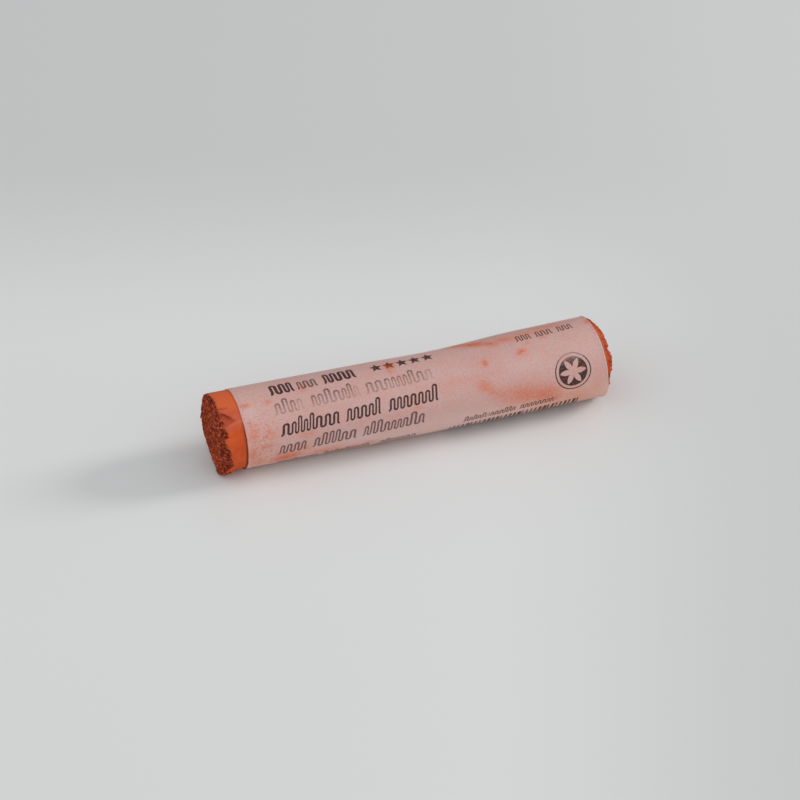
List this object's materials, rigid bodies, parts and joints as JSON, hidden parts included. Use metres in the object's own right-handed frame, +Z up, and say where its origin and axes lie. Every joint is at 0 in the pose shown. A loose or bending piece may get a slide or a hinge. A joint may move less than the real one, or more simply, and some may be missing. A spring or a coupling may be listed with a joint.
{
  "type": "soft pastel stick",
  "caption": "Round stick of pressed pigment in a thin paper wrapper, broken off rough at one end, with a lip of pigment standing out of the paper at the other; it lies on its side.",
  "frame": {"origin": "under the middle of the stick, on the surface that it lies on", "axes": "+X along the stick, away from the broken end; +Z up as it lies on its side; +Y to the back, where the paper's glued lap is"},
  "size_m": [0.0656, 0.0138, 0.0134],
  "materials": {
    "pigment": "chalky, dull, pressed pigment",
    "paper": "thin translucent wrapping paper, smudged with pigment"
  },
  "bodies": {
    "root": {"pastel_stick": "pigment", "paper_wrapper": "paper"}
  },
  "joints": []
}
